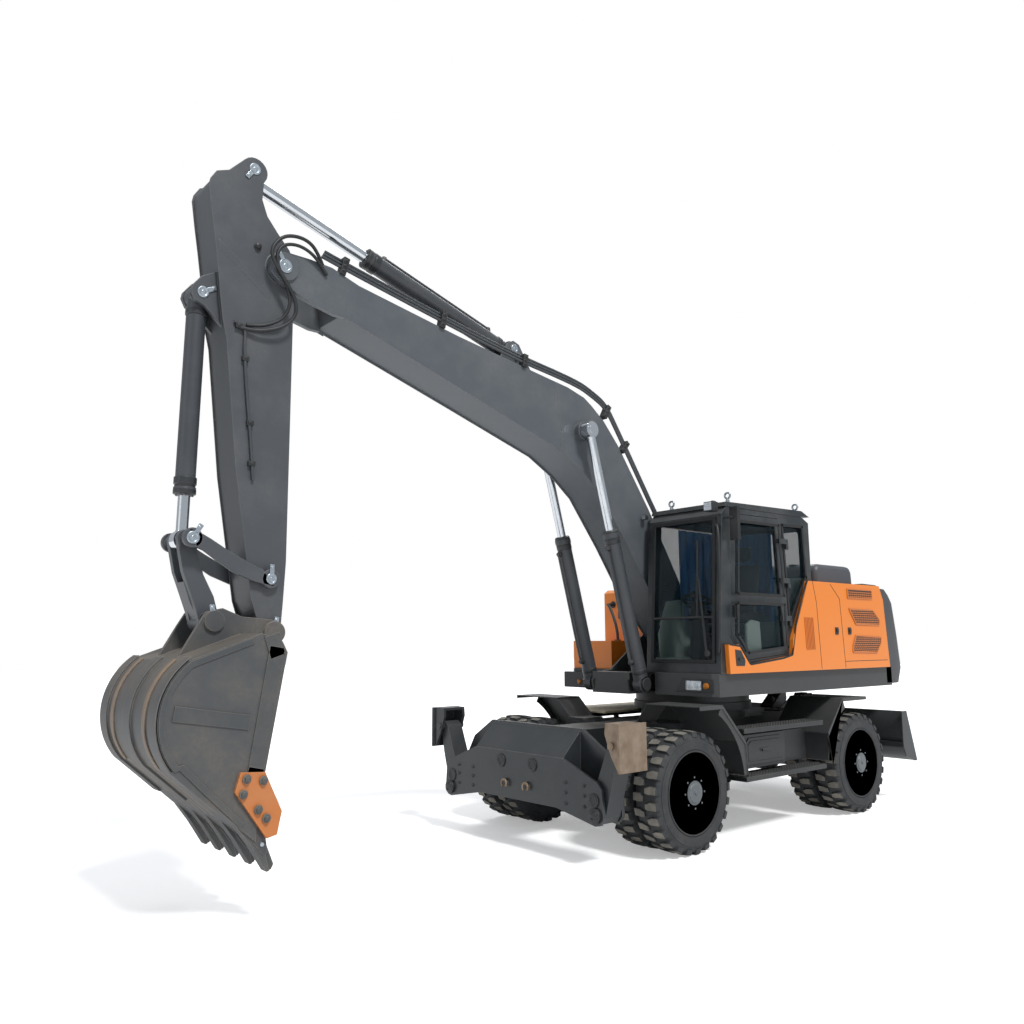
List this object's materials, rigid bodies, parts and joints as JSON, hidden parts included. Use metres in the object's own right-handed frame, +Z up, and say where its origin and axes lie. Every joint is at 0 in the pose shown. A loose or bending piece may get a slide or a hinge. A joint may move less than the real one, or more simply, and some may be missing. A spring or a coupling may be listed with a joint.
{
  "type": "wheeled excavator",
  "caption": "Wheeled hydraulic excavator: slewing upper body and cab on twin-wheel axles, a cranked boom, arm and bucket moved by cylinders, outriggers in front and a dozer blade behind.",
  "frame": {"origin": "centre of the bounding box on the ground under the wheels", "axes": "+X forward, from the blade end to the outrigger end, where the boom points; +Y to the machine's left, where the cab is; +Z up"},
  "size_m": [8.706, 2.635, 5.51],
  "materials": {
    "charcoal_paint": "satin",
    "orange_paint": "satin",
    "black_paint": "satin",
    "wheel_paint": "satin",
    "worn_steel": "worn",
    "chrome_rod": "polished",
    "tyre_rubber": "matte",
    "cast_weight": "painted",
    "engine_alloy": "matte",
    "cab_glass": "clear",
    "seat_fabric": "woven",
    "black_plastic": "moulded"
  },
  "bodies": {
    "undercarriage": {"chassis": "charcoal_paint", "slew_ring": "black_paint", "fenders_front": "charcoal_paint", "fenders_rear": "charcoal_paint", "steps_left": "charcoal_paint", "steps_right": "charcoal_paint", "outrigger_box": "charcoal_paint", "front_axle": "black_paint", "rear_axle": "black_paint"},
    "upper": {"upper_frame": "charcoal_paint", "counterweight": "cast_weight", "left_housing": "orange_paint", "right_housing": "orange_paint", "hood": "black_paint", "engine": "engine_alloy", "cab_shell": "charcoal_paint", "cab_roof": "charcoal_paint", "cab_glass": "cab_glass", "seat": "seat_fabric", "console": "black_plastic", "handrails": "black_paint", "mirror": "black_plastic"},
    "boom": {"boom": "charcoal_paint"},
    "boom_barrels": {"boom_barrels": "charcoal_paint"},
    "boom_rods": {"boom_rods": "chrome_rod"},
    "arm": {"arm": "charcoal_paint"},
    "arm_barrel": {"arm_barrel": "charcoal_paint"},
    "arm_rod": {"arm_rod": "chrome_rod"},
    "bucket": {"bucket": "worn_steel", "side_cutters": "orange_paint"},
    "idler_links": {"idler_links": "charcoal_paint"},
    "bucket_link": {"bucket_link": "charcoal_paint"},
    "bucket_barrel": {"bucket_barrel": "charcoal_paint"},
    "bucket_rod": {"bucket_rod": "chrome_rod"},
    "blade": {"blade": "charcoal_paint"},
    "blade_barrels": {"blade_barrels": "charcoal_paint"},
    "blade_rods": {"blade_rods": "chrome_rod"},
    "knuckle_left": {"knuckle_left": "black_paint"},
    "knuckle_right": {"knuckle_right": "black_paint"},
    "outrigger_left": {"outrigger_leg_left": "charcoal_paint", "outrigger_pad_left": "worn_steel"},
    "outrigger_right": {"outrigger_leg_right": "charcoal_paint", "outrigger_pad_right": "worn_steel"},
    "door": {"cab_door": "charcoal_paint", "door_glass": "cab_glass"},
    "wheels_front_left": {"wheel_front_left": "wheel_paint", "tyres_front_left": "tyre_rubber"},
    "wheels_front_right": {"wheel_front_right": "wheel_paint", "tyres_front_right": "tyre_rubber"},
    "wheels_rear_left": {"wheel_rear_left": "wheel_paint", "tyres_rear_left": "tyre_rubber"},
    "wheels_rear_right": {"wheel_rear_right": "wheel_paint", "tyres_rear_right": "tyre_rubber"}
  },
  "joints": [
    {"name": "slew", "type": "hinge", "parent": "undercarriage", "child": "upper", "pos_m": [-1.602, 0, 1.19], "axis": [0, 0, 1], "continuous": true},
    {"name": "boom_lift", "type": "hinge", "parent": "upper", "child": "boom", "pos_m": [-1.302, 0, 1.88], "axis": [0, -1, 0], "range_deg": [-55, 20]},
    {"name": "boom_barrels_pivot", "type": "hinge", "parent": "upper", "child": "boom_barrels", "pos_m": [-0.392, 0, 1.405], "axis": [0, -1, 0], "range_deg": [-55, 20]},
    {"name": "boom_rods_slide", "type": "slide", "parent": "boom_barrels", "child": "boom_rods", "axis": [0.2623, 0, 0.965], "range_m": [-0.925, 0.34]},
    {"name": "arm_swing", "type": "hinge", "parent": "boom", "child": "arm", "pos_m": [3.463, 0, 4.675], "axis": [0, -1, 0], "range_deg": [-32, 80]},
    {"name": "arm_barrel_pivot", "type": "hinge", "parent": "boom", "child": "arm_barrel", "pos_m": [1.056, 0, 4.58], "axis": [0, -1, 0], "range_deg": [-3, 6]},
    {"name": "arm_rod_slide", "type": "slide", "parent": "arm_barrel", "child": "arm_rod", "axis": [0.9535, 0, 0.3015], "range_m": [-0.985, 0.395]},
    {"name": "bucket_curl", "type": "hinge", "parent": "arm", "child": "bucket", "pos_m": [3.434, 0, 1.898], "axis": [0, -1, 0], "range_deg": [-140, 30]},
    {"name": "idler_links_pivot", "type": "hinge", "parent": "arm", "child": "idler_links", "pos_m": [3.472, 0, 2.285], "axis": [0, -1, 0], "range_deg": [-93, 20]},
    {"name": "bucket_link_pivot", "type": "hinge", "parent": "bucket", "child": "bucket_link", "pos_m": [3.879, 0, 1.976], "axis": [0, -1, 0], "range_deg": [-20, 93]},
    {"name": "bucket_barrel_pivot", "type": "hinge", "parent": "arm", "child": "bucket_barrel", "pos_m": [4.031, 0, 4.36], "axis": [0, -1, 0], "range_deg": [-6, 3]},
    {"name": "bucket_rod_slide", "type": "slide", "parent": "bucket_barrel", "child": "bucket_rod", "axis": [0.0138, 0, -0.9999], "range_m": [-0.2, 0.92]},
    {"name": "blade_lift", "type": "hinge", "parent": "undercarriage", "child": "blade", "pos_m": [-3.352, 0, 0.56], "axis": [0, -1, 0], "range_deg": [-4, 40]},
    {"name": "blade_barrels_pivot", "type": "hinge", "parent": "undercarriage", "child": "blade_barrels", "pos_m": [-3.547, 0, 1.15], "axis": [0, -1, 0], "range_deg": [-1, 6]},
    {"name": "blade_rods_slide", "type": "slide", "parent": "blade_barrels", "child": "blade_rods", "axis": [-0.3376, 0, -0.9413], "range_m": [-0.03, 0.26]},
    {"name": "steer_left", "type": "hinge", "parent": "undercarriage", "child": "knuckle_left", "pos_m": [-0.027, 0.7, 0.522], "axis": [0, 0, 1], "range_deg": [-30, 30]},
    {"name": "steer_right", "type": "hinge", "parent": "undercarriage", "child": "knuckle_right", "pos_m": [-0.027, -0.7, 0.522], "axis": [0, 0, 1], "range_deg": [-30, 30]},
    {"name": "roll_front_left", "type": "hinge", "parent": "knuckle_left", "child": "wheels_front_left", "pos_m": [-0.027, 0.94, 0.522], "axis": [0, 1, 0], "continuous": true},
    {"name": "roll_front_right", "type": "hinge", "parent": "knuckle_right", "child": "wheels_front_right", "pos_m": [-0.027, -0.94, 0.522], "axis": [0, 1, 0], "continuous": true},
    {"name": "roll_rear_left", "type": "hinge", "parent": "undercarriage", "child": "wheels_rear_left", "pos_m": [-2.877, 0.94, 0.522], "axis": [0, 1, 0], "continuous": true},
    {"name": "roll_rear_right", "type": "hinge", "parent": "undercarriage", "child": "wheels_rear_right", "pos_m": [-2.877, -0.94, 0.522], "axis": [0, 1, 0], "continuous": true},
    {"name": "outrigger_left_swing", "type": "hinge", "parent": "undercarriage", "child": "outrigger_left", "pos_m": [0.798, 0.99, 0.417], "axis": [-1, 0, 0], "range_deg": [0, 105]},
    {"name": "outrigger_right_swing", "type": "hinge", "parent": "undercarriage", "child": "outrigger_right", "pos_m": [0.798, -0.99, 0.417], "axis": [1, 0, 0], "range_deg": [0, 105]},
    {"name": "door_swing", "type": "hinge", "parent": "upper", "child": "door", "pos_m": [-1.667, 1.226, 2.3], "axis": [0, 0, 1], "range_deg": [0, 160]}
  ],
  "couplings": [
    {"joint": "boom_barrels_pivot", "follows": "boom_lift", "ratio": 1},
    {"joint": "boom_rods_slide", "follows": "boom_lift", "m_per_rad": 0.9592},
    {"joint": "arm_barrel_pivot", "follows": "arm_swing", "ratio": 0.0581},
    {"joint": "arm_rod_slide", "follows": "arm_swing", "m_per_rad": -0.6996},
    {"joint": "idler_links_pivot", "follows": "bucket_curl", "ratio": 0.6532},
    {"joint": "bucket_link_pivot", "follows": "bucket_curl", "ratio": -0.6555},
    {"joint": "bucket_barrel_pivot", "follows": "bucket_curl", "ratio": 0.0349},
    {"joint": "bucket_rod_slide", "follows": "bucket_curl", "m_per_rad": -0.37574},
    {"joint": "blade_barrels_pivot", "follows": "blade_lift", "ratio": 0.1479},
    {"joint": "blade_rods_slide", "follows": "blade_lift", "m_per_rad": 0.3675},
    {"joint": "steer_right", "follows": "steer_left", "ratio": 1}
  ]
}
